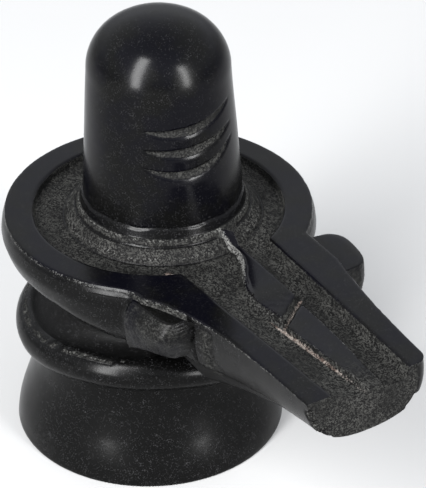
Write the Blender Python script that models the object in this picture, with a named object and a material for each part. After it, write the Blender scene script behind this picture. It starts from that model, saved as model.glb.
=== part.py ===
"""A small shiva lingam, carved from one block of black stone.

A flared foot, a roll moulding and a hollow neck carry a shallow round dish, the yoni. The dish runs
out along +X into a spout, with an ear on each side of the spout's root. A domed shaft, the lingam,
stands in the dish on a low collar. It is all one solid: the shapes below are joined and cut by
Booleans, and only the finished stone is kept.

The frame is in metres, with +Z up and +X along the spout. The origin lies on the lingam's axis, in
the plane that the foot stands on. The near side is -Y and the far side is +Y.
"""
import math

import bmesh
import bpy
from mathutils import Matrix, Vector

# Pedestal, turned about an axis that hand carving left off centre
PEDESTAL_SHIFT = (-0.0019, -0.0029)
FOOT_RADIUS = 0.0295
FOOT_EDGE = 0.0004
FLARE_HEIGHT = 0.0191
WAIST_HEIGHT = 0.0021
WAIST_RADIUS = 0.0253
ROLL_RADIUS = 0.0292
ROLL_THICKNESS = 0.0081
NECK_HEIGHT = 0.0093
NECK_RADIUS = 0.0215
NECK_TOP_RADIUS = 0.0228

# Dish: its underside rises to a lip, its side bulges between the lip and the level rim
DISH_SHIFT = (-0.0005, -0.0008)
UNDERSIDE_RISE = 0.0044
LIP_RADIUS = 0.0305
LIP_TO_BULGE = 0.0061
BULGE_RADIUS = 0.0339
BULGE_TO_RIM = 0.0044
RIM_RADIUS = 0.0328
RIM_WIDTH = 0.0059
BASIN_DEPTH = 0.0017
BASIN_FILLET = 0.0009

# Collar and lingam
COLLAR_RADIUS = 0.0208
COLLAR_EDGE_DROP = 0.0011
COLLAR_RISE = 0.0030
COLLAR_BEVEL = 0.0005
LINGAM_FOOT_RADIUS = 0.0173
SHOULDER_RADIUS = 0.0152
SHAFT_HEIGHT = 0.0316
DOME_HEIGHT = 0.0127
DOME_FULLNESS = 2.16

# Three curved cuts across the lingam's front, the highest first: the lowest point above the
# collar, its bearing in degrees, and the rise from there to GROOVE_RISE_SPAN degrees away
GROOVES = ((0.0243, -18.0, 0.00113), (0.0196, -14.0, 0.00113), (0.0145, -12.0, 0.0020))
GROOVE_RISE_SPAN = 30.0
GROOVE_MIDDLE = -5.0
GROOVE_HALF_SPAN = 41.0
GROOVE_DEPTH = 0.0007
GROOVE_WIDTH = 0.0017

# Spout, measured along from the lingam's axis
SPOUT_END = 0.0764
SPOUT_ROOT = 0.0280
TIP_HALF_WIDTH = 0.0136
TIP_CORNER = 0.0030
TIP_DEPTH = 0.0117
TIP_SHEAR = 0.14
ROOT_DEPTH = 0.0250
DEPTH_CURVE = 1.25
NEAR_FLARE = 0.0084
NEAR_FADE = 0.0120
FAR_FLARE = 0.0088
FAR_FADE = 0.0280
FAR_LIMIT = 0.0200
SPOUT_FULLNESS = 2.9
ROOT_PINCH = 0.40
PINCH_END = 0.0370

# Channel along the spout, with a raised tongue and a raised bar on its floor
CHANNEL_START = 0.0200
CHANNEL_NEAR = 0.0105
CHANNEL_FAR = 0.0120
CHANNEL_TIP_NEAR = 0.0078
CHANNEL_TIP_FAR = 0.0104
CHANNEL_DEPTH = 0.0032
CHANNEL_EDGE = 0.0006
SHOULDER_START = 0.0270
SHOULDER_END = 0.0440
CREASE_ROOT = 0.0020
CREASE_BEND = -0.0034
BEND_START = 0.0255
BEND_END = 0.0350
BAR_START = 0.0501
BAR_NEAR = -0.0022
BAR_FAR = 0.0068
BAR_TIP_NEAR = 0.0002
BAR_TIP_FAR = 0.0050
BAR_RISE = 0.0017
BAR_FALL = 0.0006
NOTCH_SLANT = 0.0072
NOTCH_WIDTH = 0.0006
TONGUE_START = 0.0155
TONGUE_SLOPE = 0.0020
TONGUE_FAR = 0.0058
TONGUE_FADE = 0.0088
TONGUE_RISE = 0.0021

# Ears beside the spout's root: the near one is rounder on top than the far one
EAR_LENGTH = 0.0152
EAR_ALONG = 0.0324
EAR_TURN = 7.0
EAR_DROP = 0.0016
EAR_THICKNESS = 0.0095
EAR_TAPER = 0.0013
EAR_FULLNESS = 3.3
NEAR_EAR_OFFSET = 0.0176
NEAR_EAR_HALF_WIDTH = 0.0078
NEAR_EAR_ROUNDING = 0.0020
FAR_EAR_OFFSET = 0.0192
FAR_EAR_HALF_WIDTH = 0.0084
FAR_EAR_ROUNDING = 0.0004

# Overlap of shapes that are joined, and how finely the curves are faceted
OVERLAP = 0.0020
TURN_STEPS = 72
FLARE_STEPS = 5
ROLL_STEPS = 7
NECK_STEPS = 5
DOME_STEPS = 8
SECTION_STEPS = 14
SPOUT_SECTIONS = 9
EAR_STEPS = 28
CHANNEL_SECTIONS = 12
TONGUE_SECTIONS = 9
BAR_SECTIONS = 3
GROOVE_STEPS = 16
SMOOTH_ANGLE = math.radians(30)

# Levels that follow from the sizes above
ROLL_BOTTOM = FLARE_HEIGHT + WAIST_HEIGHT
ROLL_TOP = ROLL_BOTTOM + ROLL_THICKNESS
DISH_UNDERSIDE = ROLL_TOP + NECK_HEIGHT
LIP_HEIGHT = DISH_UNDERSIDE + UNDERSIDE_RISE
BULGE_HEIGHT = LIP_HEIGHT + LIP_TO_BULGE
RIM_TOP = BULGE_HEIGHT + BULGE_TO_RIM
COLLAR_EDGE = RIM_TOP - COLLAR_EDGE_DROP
COLLAR_TOP = COLLAR_EDGE + COLLAR_RISE
SHOULDER_HEIGHT = COLLAR_TOP + SHAFT_HEIGHT
CHANNEL_FLOOR = RIM_TOP - CHANNEL_DEPTH
EAR_TOP = RIM_TOP - EAR_DROP
EAR_BOTTOM = EAR_TOP - EAR_THICKNESS


def smooth_object(name, bm):
    """Turn a bmesh into an object with faces that look outward and sharp edges at its creases."""
    bmesh.ops.recalc_face_normals(bm, faces=bm.faces)
    mesh = bpy.data.meshes.new(name)
    bm.to_mesh(mesh)
    bm.free()
    mesh.shade_smooth()
    mesh.set_sharp_from_angle(angle=SMOOTH_ANGLE)
    shape = bpy.data.objects.new(name, mesh)
    bpy.context.scene.collection.objects.link(shape)
    return shape


def spun(name, profile, centre=(0.0, 0.0)):
    """A solid turned about Z: the profile of radius and height starts and ends on the axis."""
    bm = bmesh.new()
    verts = [bm.verts.new((radius, 0.0, height)) for radius, height in profile]
    edges = [bm.edges.new(pair) for pair in zip(verts, verts[1:])]
    bmesh.ops.spin(bm, geom=verts + edges, cent=(0, 0, 0), axis=(0, 0, 1),
                   angle=2 * math.pi, steps=TURN_STEPS, use_merge=True)
    bmesh.ops.remove_doubles(bm, verts=bm.verts, dist=1e-6)
    bmesh.ops.translate(bm, verts=bm.verts, vec=(centre[0], centre[1], 0.0))
    return smooth_object(name, bm)


def lofted(name, sections):
    """A solid through closed sections that have as many points each, capped at both ends."""
    bm = bmesh.new()
    loops = []
    for number, section in enumerate(sections):
        verts = [bm.verts.new(point) for point in section]
        loops.append([bm.edges.new((verts[i - 1], verts[i])) for i in range(len(verts))])
        if number in (0, len(sections) - 1):
            bm.faces.new(verts)
    for near, far in zip(loops, loops[1:]):
        bmesh.ops.bridge_loops(bm, edges=near + far)
    return smooth_object(name, bm)


def superellipse(half_length, half_width, fullness, start, end, count):
    """Points of a superellipse between two angles in degrees; a fullness of 2 is an ellipse."""
    points = []
    for i in range(count + 1):
        angle = math.radians(start + (end - start) * i / count)
        across, along = math.cos(angle), math.sin(angle)
        points.append((half_length * math.copysign(abs(across) ** (2 / fullness), across),
                       half_width * math.copysign(abs(along) ** (2 / fullness), along)))
    return points


def blend(start, end, share):
    """A value between two others."""
    return start + (end - start) * share


def combine(body, other, operation):
    """Join another shape to the body or cut it away, and leave the other behind as a hidden guide."""
    modifier = body.modifiers.new(other.name, "BOOLEAN")
    modifier.operation = operation
    modifier.solver = "EXACT"
    modifier.object = other
    other.hide_render = True
    other.display_type = "WIRE"


def black_stone():
    """Black stone with a dull polish."""
    material = bpy.data.materials.new("black stone")
    material.use_nodes = True
    shader = material.node_tree.nodes["Principled BSDF"]
    shader.inputs["Base Color"].default_value = (0.012, 0.012, 0.013, 1.0)
    shader.inputs["Roughness"].default_value = 0.42
    shader.inputs["Metallic"].default_value = 0.0
    return material


def pedestal(name):
    """The flared foot, the waist, the roll moulding and the neck, ending inside the dish."""
    profile = [(0.0, 0.0), (FOOT_RADIUS - FOOT_EDGE, 0.0)]
    for i in range(FLARE_STEPS + 1):
        height = blend(FOOT_EDGE, FLARE_HEIGHT, i / FLARE_STEPS)
        swell = 0.5 + 0.5 * math.cos(math.pi * height / FLARE_HEIGHT)
        profile.append((blend(WAIST_RADIUS, FOOT_RADIUS, swell), height))
    roll = superellipse(ROLL_RADIUS - WAIST_RADIUS, ROLL_THICKNESS / 2, 2.0, -90, 90, ROLL_STEPS)
    profile += [(WAIST_RADIUS + out, ROLL_BOTTOM + ROLL_THICKNESS / 2 + up) for out, up in roll]
    for i in range(1, NECK_STEPS + 1):
        turn = math.pi * i / NECK_STEPS
        radius = blend(WAIST_RADIUS, NECK_TOP_RADIUS, i / NECK_STEPS)
        radius = blend(radius, NECK_RADIUS, math.sin(turn))
        profile.append((radius, blend(ROLL_TOP, DISH_UNDERSIDE, 0.5 - 0.5 * math.cos(turn))))
    profile.append((NECK_TOP_RADIUS, DISH_UNDERSIDE + OVERLAP))
    profile.append((0.0, DISH_UNDERSIDE + OVERLAP))
    return spun(name, profile, PEDESTAL_SHIFT)


def dish(name):
    """The dish as a full disc with a bulging side, a little too high: its top is cut flat later."""
    profile = [(0.0, DISH_UNDERSIDE - OVERLAP),
               (NECK_RADIUS - OVERLAP, DISH_UNDERSIDE - OVERLAP),
               (LIP_RADIUS, LIP_HEIGHT),
               (blend(LIP_RADIUS, BULGE_RADIUS, 0.7), blend(LIP_HEIGHT, BULGE_HEIGHT, 0.4)),
               (BULGE_RADIUS, BULGE_HEIGHT),
               (blend(BULGE_RADIUS, RIM_RADIUS, 0.3), blend(BULGE_HEIGHT, RIM_TOP, 0.55)),
               (RIM_RADIUS, RIM_TOP),
               (RIM_RADIUS, RIM_TOP + OVERLAP),
               (0.0, RIM_TOP + OVERLAP)]
    return spun(name, profile, DISH_SHIFT)


def half_width(along, side):
    """Half width of the spout's top at a distance along it, on the near (-1) or far (+1) side."""
    if side < 0:
        return TIP_HALF_WIDTH + NEAR_FLARE * min(1.0, math.exp((SPOUT_ROOT - along) / NEAR_FADE))
    width = min(FAR_LIMIT, TIP_HALF_WIDTH + FAR_FLARE * math.exp((SPOUT_ROOT - along) / FAR_FADE))
    into_corner = max(0.0, (along - SPOUT_END) / TIP_CORNER + 1)
    return width - TIP_CORNER * (1 - math.sqrt(1 - into_corner ** 2))


def spout_section(along):
    """A D of the spout: a flat top and a round belly, pinched in below the dish near the root."""
    share = min(1.0, (SPOUT_END - along) / (SPOUT_END - SPOUT_ROOT))
    depth = blend(TIP_DEPTH, ROOT_DEPTH, share ** DEPTH_CURVE)
    pinch = ROOT_PINCH * min(1.0, max(0.0, (PINCH_END - along) / (PINCH_END - SPOUT_ROOT)))
    lip_depth = RIM_TOP - LIP_HEIGHT
    points = []
    for across, down in superellipse(1.0, 1.0, SPOUT_FULLNESS, 0, 180, SECTION_STEPS):
        drop = depth * down
        below_lip = max(0.0, drop - lip_depth) / depth
        width = half_width(along, across) * across * (1 - pinch * min(1.0, 3 * below_lip))
        points.append((along, width + TIP_SHEAR * drop * (1 - share), RIM_TOP - drop))
    top = RIM_TOP + OVERLAP
    return [(along, points[0][1], top), *points, (along, points[-1][1], top)]


def spout(name):
    """The spout, from inside the neck to its square end with one rounded corner."""
    start = SPOUT_ROOT - NECK_RADIUS + OVERLAP
    body_end = SPOUT_END - TIP_CORNER
    stations = [blend(start, body_end, i / SPOUT_SECTIONS) for i in range(SPOUT_SECTIONS + 1)]
    stations += [blend(body_end, SPOUT_END, share) for share in (0.5, 0.85, 1.0)]
    return lofted(name, [spout_section(along) for along in stations])


def ear(name, side, offset, breadth, rounding):
    """A bulging ear beside the spout's root, on the near (-1) or far (+1) side."""
    centre = Vector((EAR_ALONG, side * offset, 0.0))
    turn = Matrix.Rotation(math.radians(-side * EAR_TURN), 3, "Z")
    insets = ((0.0, EAR_TAPER), (0.2, EAR_TAPER * 0.4), (0.5, 0.0), (0.8, rounding * 0.3), (1.0, rounding))
    sections = []
    for share, inset in insets:
        lift = Vector((0.0, 0.0, blend(EAR_BOTTOM, EAR_TOP, share)))
        outline = superellipse(EAR_LENGTH / 2 - inset, breadth - inset, EAR_FULLNESS, 0, 360, EAR_STEPS)
        sections.append([turn @ Vector((x, y, 0.0)) + centre + lift for x, y in outline[:-1]])
    return lofted(name, sections)


def level(name):
    """A wide cutter with a flat underside, which levels the rim and the spout's ledges."""
    bm = bmesh.new()
    bmesh.ops.create_cube(bm, size=4 * SPOUT_END)
    bmesh.ops.translate(bm, verts=bm.verts, vec=(0, 0, RIM_TOP + 2 * SPOUT_END))
    return smooth_object(name, bm)


def basin(name):
    """The cutter of the dish's round basin, with a bevelled foot to its wall."""
    radius = RIM_RADIUS - RIM_WIDTH
    floor = RIM_TOP - BASIN_DEPTH
    profile = [(0.0, floor), (radius - BASIN_FILLET, floor), (radius, floor + BASIN_FILLET),
               (radius, RIM_TOP + OVERLAP), (0.0, RIM_TOP + OVERLAP)]
    return spun(name, profile, DISH_SHIFT)


def crease(along):
    """How far across the channel's sloping near floor reaches: to the foot of the tongue and the bar."""
    if along < BEND_END:
        share = max(0.0, (along - BEND_START) / (BEND_END - BEND_START))
        return blend(CREASE_ROOT, CREASE_BEND, 0.5 - 0.5 * math.cos(math.pi * share))
    if along < BAR_START:
        return blend(CREASE_BEND, BAR_NEAR, (along - BEND_END) / (BAR_START - BEND_END))
    return blend(BAR_NEAR, BAR_TIP_NEAR, (along - BAR_START) / (SPOUT_END - BAR_START))


def notch(across):
    """How far along the slanted notch between the tongue and the bar lies."""
    return BAR_START - NOTCH_SLANT * (across - BAR_NEAR) / (BAR_FAR - BAR_NEAR)


def channel(name):
    """The cutter of the channel: a slope down to the crease, a level floor and a steep far wall."""
    sections = []
    for i in range(CHANNEL_SECTIONS + 1):
        along = blend(CHANNEL_START, SPOUT_END + OVERLAP, i / CHANNEL_SECTIONS)
        share = min(1.0, (along - CHANNEL_START) / (SPOUT_END - CHANNEL_START))
        near = -blend(CHANNEL_NEAR, CHANNEL_TIP_NEAR, share)
        far = blend(CHANNEL_FAR, CHANNEL_TIP_FAR, share)
        floor = RIM_TOP - blend(BASIN_DEPTH, CHANNEL_DEPTH, min(1.0, 2 * share))
        fall = min(1.0, max(0.0, (SHOULDER_END - along) / (SHOULDER_END - SHOULDER_START)))
        near_edge = RIM_TOP - blend(CHANNEL_EDGE, BASIN_DEPTH, fall)
        far_edge = RIM_TOP - CHANNEL_EDGE
        top = RIM_TOP + OVERLAP
        sections.append([(along, near, top), (along, near, near_edge), (along, crease(along), floor),
                         (along, far - CHANNEL_EDGE, floor), (along, far, far_edge), (along, far, top)])
    return lofted(name, sections)


def tongue(name):
    """The low tongue from the collar to the notch: steep on its near side, fading on its far side."""
    top = CHANNEL_FLOOR + TONGUE_RISE
    sections = []
    for i in range(TONGUE_SECTIONS + 1):
        share = i / TONGUE_SECTIONS
        at_notch = i == TONGUE_SECTIONS
        foot = crease(blend(TONGUE_START, BAR_START, share))
        fade = blend(TONGUE_FADE, BAR_FAR, share ** 3)
        section = []
        for across, height in ((foot, CHANNEL_FLOOR - OVERLAP), (foot, CHANNEL_FLOOR),
                               (foot + TONGUE_SLOPE, top), (TONGUE_FAR, top),
                               (fade, CHANNEL_FLOOR), (fade, CHANNEL_FLOOR - OVERLAP)):
            back = NOTCH_WIDTH * (2.5 if at_notch and height == top else 0.5)
            section.append((blend(TONGUE_START, notch(across) - back, share), across, height))
        sections.append(section)
    return lofted(name, sections)


def bar(name):
    """The low bar from the notch to the spout's end, highest along its near side."""
    top = CHANNEL_FLOOR + BAR_RISE
    sections = []
    for i in range(BAR_SECTIONS + 1):
        share = i / BAR_SECTIONS
        near = blend(BAR_NEAR, BAR_TIP_NEAR, share)
        far = blend(BAR_FAR, BAR_TIP_FAR, share ** 1.5)
        section = []
        for across, height in ((near, CHANNEL_FLOOR - OVERLAP), (near, CHANNEL_FLOOR),
                               (near + NOTCH_WIDTH, top), (far - NOTCH_WIDTH, top - BAR_FALL),
                               (far, CHANNEL_FLOOR), (far, CHANNEL_FLOOR - OVERLAP)):
            section.append((blend(notch(across) + NOTCH_WIDTH, SPOUT_END, share), across, height))
        sections.append(section)
    return lofted(name, sections)


def lingam(name):
    """The domed shaft with the collar round its foot, turned about the origin."""
    inside = RIM_TOP - BASIN_DEPTH - OVERLAP
    middle = COLLAR_TOP + SHAFT_HEIGHT / 2
    profile = [(0.0, inside),
               (COLLAR_RADIUS, inside),
               (COLLAR_RADIUS, COLLAR_EDGE - COLLAR_BEVEL),
               (COLLAR_RADIUS - COLLAR_BEVEL, COLLAR_EDGE),
               (LINGAM_FOOT_RADIUS + COLLAR_BEVEL, COLLAR_TOP),
               (LINGAM_FOOT_RADIUS, COLLAR_TOP + COLLAR_BEVEL),
               (shaft_radius(middle), middle)]
    dome = superellipse(SHOULDER_RADIUS, DOME_HEIGHT, DOME_FULLNESS, 0, 90, DOME_STEPS)
    profile += [(out, SHOULDER_HEIGHT + up) for out, up in dome[:-1]]
    profile.append((0.0, SHOULDER_HEIGHT + DOME_HEIGHT))
    return spun(name, profile)


def shaft_radius(height):
    """Radius of the lingam's straight, slightly tapered shaft."""
    return blend(LINGAM_FOOT_RADIUS, SHOULDER_RADIUS, (height - COLLAR_TOP) / SHAFT_HEIGHT)


def groove(name, lowest, bearing, rise):
    """A curved wedge that bites into the shaft's front and fades out at both ends, like a smile."""
    sections = []
    for i in range(GROOVE_STEPS + 1):
        share = 2 * i / GROOVE_STEPS - 1
        turn = GROOVE_MIDDLE + share * GROOVE_HALF_SPAN
        height = COLLAR_TOP + lowest + rise * ((turn - bearing) / GROOVE_RISE_SPAN) ** 2
        depth = GROOVE_DEPTH * (1 - share ** 2)
        surface = shaft_radius(height)
        spread = GROOVE_WIDTH / 2 * (OVERLAP / 2 + depth) / GROOVE_DEPTH
        direction = Vector((math.cos(math.radians(turn)), math.sin(math.radians(turn)), 0.0))
        inner = direction * (surface - depth) + Vector((0.0, 0.0, height))
        outer = direction * (surface + OVERLAP / 2) + Vector((0.0, 0.0, height))
        sections.append([inner, outer + Vector((0.0, 0.0, spread)), outer - Vector((0.0, 0.0, spread))])
    return lofted(name, sections)


def shiva_lingam():
    """Join and cut the shapes, in the order in which the later ones depend on the earlier ones."""
    stone = pedestal("shiva_lingam")
    stone.data.materials.append(black_stone())
    combine(stone, dish("dish"), "UNION")
    combine(stone, spout("spout"), "UNION")
    combine(stone, level("level"), "DIFFERENCE")
    near_ear = ear("near ear", -1, NEAR_EAR_OFFSET, NEAR_EAR_HALF_WIDTH, NEAR_EAR_ROUNDING)
    far_ear = ear("far ear", 1, FAR_EAR_OFFSET, FAR_EAR_HALF_WIDTH, FAR_EAR_ROUNDING)
    combine(stone, near_ear, "UNION")
    combine(stone, far_ear, "UNION")
    combine(stone, basin("basin"), "DIFFERENCE")
    combine(stone, channel("channel"), "DIFFERENCE")
    combine(stone, tongue("tongue"), "UNION")
    combine(stone, bar("bar"), "UNION")
    combine(stone, lingam("lingam"), "UNION")
    for number, (lowest, bearing, rise) in enumerate(GROOVES, start=1):
        combine(stone, groove(f"groove {number}", lowest, bearing, rise), "DIFFERENCE")


for thing in list(bpy.data.objects):
    bpy.data.objects.remove(thing, do_unlink=True)
shiva_lingam()
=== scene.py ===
"""The looks of the shiva lingam: black stone with polished tops, matt carved floors and worn edges.

The stone is one closed surface. Its parts are grids worked out with numpy: rings about the lingam,
the rim carried round the dish and along both sides of the spout, the channel, the spout's belly, the
pedestal and the end face. Neighbouring grids share their border points, so they weld without seams.
Sizes are in metres, with +Z up and +X along the spout. The near side is -Y and the far side is +Y.
"""
import functools
import itertools
import math

import bmesh
import bpy
import numpy as np
from mathutils import Matrix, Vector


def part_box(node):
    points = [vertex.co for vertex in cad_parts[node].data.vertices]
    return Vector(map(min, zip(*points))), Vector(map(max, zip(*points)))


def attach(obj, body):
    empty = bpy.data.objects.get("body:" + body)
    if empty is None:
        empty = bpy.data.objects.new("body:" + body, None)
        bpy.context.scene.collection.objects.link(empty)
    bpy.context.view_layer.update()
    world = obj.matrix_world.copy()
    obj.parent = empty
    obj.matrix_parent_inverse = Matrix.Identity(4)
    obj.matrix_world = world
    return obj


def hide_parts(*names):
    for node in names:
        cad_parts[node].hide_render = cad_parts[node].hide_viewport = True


bl_info = {
    "name": "Shiva Lingam Stone",
    "version": (1, 0, 0),
    "blender": (4, 5, 0),
    "location": "3D View > Sidebar > Shiva Lingam",
    "description": "Builds a carved black stone lingam and the stage that it stands on",
    "category": "Object",
}

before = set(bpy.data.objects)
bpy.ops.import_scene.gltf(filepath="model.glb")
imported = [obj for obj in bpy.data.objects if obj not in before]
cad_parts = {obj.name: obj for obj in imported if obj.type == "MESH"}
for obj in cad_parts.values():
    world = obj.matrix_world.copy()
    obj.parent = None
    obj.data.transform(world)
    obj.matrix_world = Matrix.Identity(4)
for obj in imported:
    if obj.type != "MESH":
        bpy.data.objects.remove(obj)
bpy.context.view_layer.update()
NODE = "shiva_lingam"
LOWEST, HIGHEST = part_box(NODE)
NEAR, FAR = -1, 1

# Pedestal
PEDESTAL_X, PEDESTAL_Y = -0.0019, -0.0029
FOOT_RADIUS = 0.0295
FOOT_EDGE = 0.0004
FLARE_HEIGHT = 0.0191
WAIST_HEIGHT = 0.0021
WAIST_RADIUS = 0.0253
ROLL_RADIUS = 0.0292
ROLL_THICKNESS = 0.0081
ROLL_WORN_RADIUS = 0.0271
NECK_HEIGHT = 0.0093
NECK_RADIUS = 0.0215
NECK_TOP_RADIUS = 0.0228
NECK_BLEND = 0.0008
MOUTH_BEARING = math.radians(35)
MOUTH_TURN = 1.1
SHIFT_FADE = 0.014

# Dish
DISH_X, DISH_Y = -0.0005, -0.0008
UNDERSIDE_RISE = 0.0044
LIP_RADIUS = 0.0300
LIP_TO_BULGE = 0.0061
BULGE_RADIUS = 0.0339
BULGE_TO_RIM = 0.0044
RIM_RADIUS = 0.0328
RIM_WIDTH = 0.0059
RIM_FILLET = 0.00035
BASIN_DEPTH = 0.0017
BASIN_RUN = 0.0005

# Collar and lingam
COLLAR_RADIUS = 0.0208
COLLAR_EDGE_DROP = 0.0011
COLLAR_RISE = 0.0035
COLLAR_INNER = 0.0179
LINGAM_FOOT_RADIUS = 0.0173
SHOULDER_RADIUS = 0.0152
SHAFT_HEIGHT = 0.0316
DOME_HEIGHT = 0.0127
DOME_FULLNESS = 2.16
LEAN = np.array((-0.00026, -0.00042, 0.0))

# Grooves: the lowest point above the shaft's foot, its bearing in degrees, the rise at 30 degrees
GROOVES = ((0.0243, -18.0, 0.00113), (0.0196, -14.0, 0.00113), (0.0145, -12.0, 0.0020))
GROOVE_RISE_SPAN = 30.0
GROOVE_MIDDLE = -5.0
GROOVE_HALF_SPAN = 41.0

# The line round the shaft's foot
FOOT_LINE_DEPTH = 0.00025
FOOT_LINE_WIDTH = 0.0003

# Spout
SPOUT_END = 0.0764
SPOUT_ROOT = 0.0280
TIP_HALF_WIDTH = 0.0136
TIP_CORNER = 0.0030
TIP_DEPTH = 0.0117
TIP_SHEAR = 0.14
ROOT_DEPTH = 0.0250
DEPTH_CURVE = 1.25
NEAR_FLARE = 0.0084
NEAR_FADE = 0.0120
FAR_FLARE = 0.0088
FAR_FADE = 0.0280
FAR_LIMIT = 0.0200
SPOUT_FULLNESS = 2.9
SPOUT_BLEND = {NEAR: 0.0026, FAR: 0.0009}
ROOT_PINCH = 0.40
PINCH_END = 0.0370
SIDE_SHARE = 0.86
BELLY_STEEPNESS = 50.0
BELLY_FULLNESS = 2.6
BELLY_FADE = 0.012
BELLY_SETTLE = 0.0025
LIP_CLOSING = 0.0038
EARS_END = 0.0410

# Channel, tongue and bar; the channel's half widths are those at its start and at its end
CHANNEL_START = 0.0200
CHANNEL_ACROSS = {NEAR: (0.0105, 0.0078), FAR: (0.0120, 0.0104)}
CHANNEL_DEPTH = 0.0032
CHANNEL_EDGE = 0.0006
CHANNEL_FADE = 0.016
WALL_RUN = {NEAR: 0.0003, FAR: CHANNEL_EDGE}
SHOULDER_START = 0.0270
SHOULDER_END = 0.0440
BAR_START = 0.0501
BAR_NEAR = -0.0022
BAR_FAR = 0.0068
BAR_TIP_NEAR = 0.0002
BAR_TIP_FAR = 0.0050
BAR_RISE = 0.0017
BAR_FALL = 0.0006
BAR_SIDE = 0.0009
BAR_FROM = 0.0400
NOTCH_SLANT = 0.0072
TONGUE_START = 0.0155
TONGUE_FAR = 0.0058
TONGUE_FADE = 0.0088
TONGUE_RISE = 0.0021
TONGUE_TO = BAR_START + 0.002
CREST_RISE = 0.0007
CREST_WIDTH = 0.00048
HOLLOW_DEPTH = 0.00060
HOLLOW_LENGTH = 0.0034

# Ears; the sizes of each are its offset, half width and rounding
EAR_LENGTH = 0.0152
EAR_ALONG = 0.0324
EAR_TURN = math.radians(7.0)
EAR_DROP = 0.0016
EAR_THICKNESS = 0.0095
EAR_TAPER = 0.0013
EAR_UNDERCUT = 5.0
EAR_END_STEEPNESS = 12.0
EAR_TOP_STEEPNESS = 80.0
EAR_FULLNESS = 3.3
EAR_BLEND = 0.0003
EAR_MATT = 0.38
EAR_SIZES = {NEAR: (0.0176, 0.0070, 0.0026), FAR: (0.0192, 0.0084, 0.0004)}
NEAR_EAR_START = 0.0262
NEAR_EAR_ROOT_SLOPE = 1.2
NEAR_EAR_NARROWING = 0.38
NARROWING_START = 0.0290
NARROWING_TOP = 0.65
NEAR_EAR_END = 0.0388
NEAR_EAR_ROOT = -0.0060
NEAR_EAR_BLEND = 0.0030
STRIP_RISE = 0.0006
CUT_DEPTH = 0.0009
CUT_WIDTH = 0.0005

# Levels that follow from the sizes above
ROLL_BOTTOM = FLARE_HEIGHT + WAIST_HEIGHT
ROLL_TOP = ROLL_BOTTOM + ROLL_THICKNESS
DISH_UNDERSIDE = ROLL_TOP + NECK_HEIGHT
LIP_HEIGHT = DISH_UNDERSIDE + UNDERSIDE_RISE
BULGE_HEIGHT = LIP_HEIGHT + LIP_TO_BULGE
RIM_TOP = BULGE_HEIGHT + BULGE_TO_RIM
RIM_EDGE = RIM_TOP - 0.0003
COLLAR_EDGE = RIM_TOP - COLLAR_EDGE_DROP
SHAFT_FOOT = COLLAR_EDGE + 0.0030
COLLAR_TOP = COLLAR_EDGE + COLLAR_RISE
FOOT_LINE = COLLAR_TOP + 0.0023
SHOULDER_HEIGHT = SHAFT_FOOT + SHAFT_HEIGHT
CHANNEL_FLOOR = RIM_TOP - CHANNEL_DEPTH
BASIN_FLOOR = RIM_TOP - BASIN_DEPTH
EAR_TOP = RIM_TOP - EAR_DROP
EAR_BOTTOM = EAR_TOP - EAR_THICKNESS
BASIN_RADIUS = RIM_RADIUS - RIM_WIDTH
BASIN_FOOT = BASIN_RADIUS - BASIN_RUN

# How finely the grids are divided; the shares of the spout's steps that end past the ears and at the
# tip's corner follow their number
DISH_STEPS = 46
BACK_STEPS = 110
SPOUT_STEPS = 176
EARS_STEPS, SIDE_STEPS = 0.44, 0.93
ACROSS_STEPS = 72
BELLY_STEPS = 22
END_STEPS = 18
FLOOR_CELLS = 60

# Rows of the sweep: the basin's wall, the rim's flat top, and heights down the outside at the dish,
# with the ear's flat top as a ledge between them
WALL_SHARES = np.array((0.0, 0.25, 0.6, 0.88))
TOP_SHARES = np.array((0.0, 0.04, 0.12, 0.24, 0.38, 0.52, 0.66, 0.80, 0.91, 0.97, 1.0))
SIDE_HEIGHTS = np.array((
    0.0528, 0.0524, 0.0520, 0.0517, 0.0514, 0.0509, 0.0502, 0.0494, 0.0485, 0.0476, 0.0466, 0.0456,
    0.0447, 0.0440, 0.0435, 0.0430, 0.0426, 0.0422, 0.0417, 0.0411, 0.0405, 0.0399, 0.0393, 0.0387,
    0.0380, 0.0372, 0.0362, 0.0350, 0.0338, 0.0325, 0.0313, 0.0304, 0.0297, ROLL_TOP))
LEDGE_ROW = 3
LEDGE_SHARES = np.array((0.12, 0.32, 0.54, 0.76, 0.94))
WALL_ROWS = len(WALL_SHARES)
INSIDE_ROWS = WALL_ROWS + len(TOP_SHARES)
NECK_ROWS = 14
NECK_DULLNESS = 9.0

FLOATS = ("matt", "satin", "dust", "wear")

# How far the dish's lower edge hangs down, as places along the spout and drops
HANG_TABLE = (
    (0.0020, 0.0056, 0.0092, 0.0131, 0.0173, 0.0197, 0.0223, 0.0244, 0.0265, 0.0290, 0.0310),
    (0.0, 0.0006, 0.0009, 0.0022, 0.0034, 0.0042, 0.0040, 0.0030, 0.0015, 0.0004, 0.0))

# How far the roll moulding rises at its front, as heights and rises, and the bearing of that front
ROLL_LIFT = ((0.0100, 0.0150, 0.0205, ROLL_TOP, 0.0340), (0.0, 0.0011, 0.0023, 0.0021, 0.0))
ROLL_FRONT = -42.0

# How deep the weathering goes
WAVE_DEPTH = 0.00016
PIT_DEPTH = 0.00018
FLAKE_DEPTH = 0.00022
KNOCK_DEPTH = 0.00025
MARK_DEPTH = 0.00025

# Chips as x, y, z, radius and depth in metres
CHIPS = ((0.0764, -0.0135, 0.0505, 0.0016, 0.0008), (0.0764, -0.0125, 0.0478, 0.0013, 0.0006),
         (0.0764, -0.0137, 0.0488, 0.0010, 0.0006), (0.0764, -0.0098, 0.0455, 0.0012, 0.0005),
         (0.0764, 0.0046, 0.0512, 0.0008, 0.0004), (0.0764, -0.0012, 0.0512, 0.0007, 0.0004),
         (0.0270, 0.0040, 0.0526, 0.0007, 0.0003), (0.0332, -0.0004, 0.0526, 0.0006, 0.0003),
         (0.0375, -0.0018, 0.0526, 0.0006, 0.0003))

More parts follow.
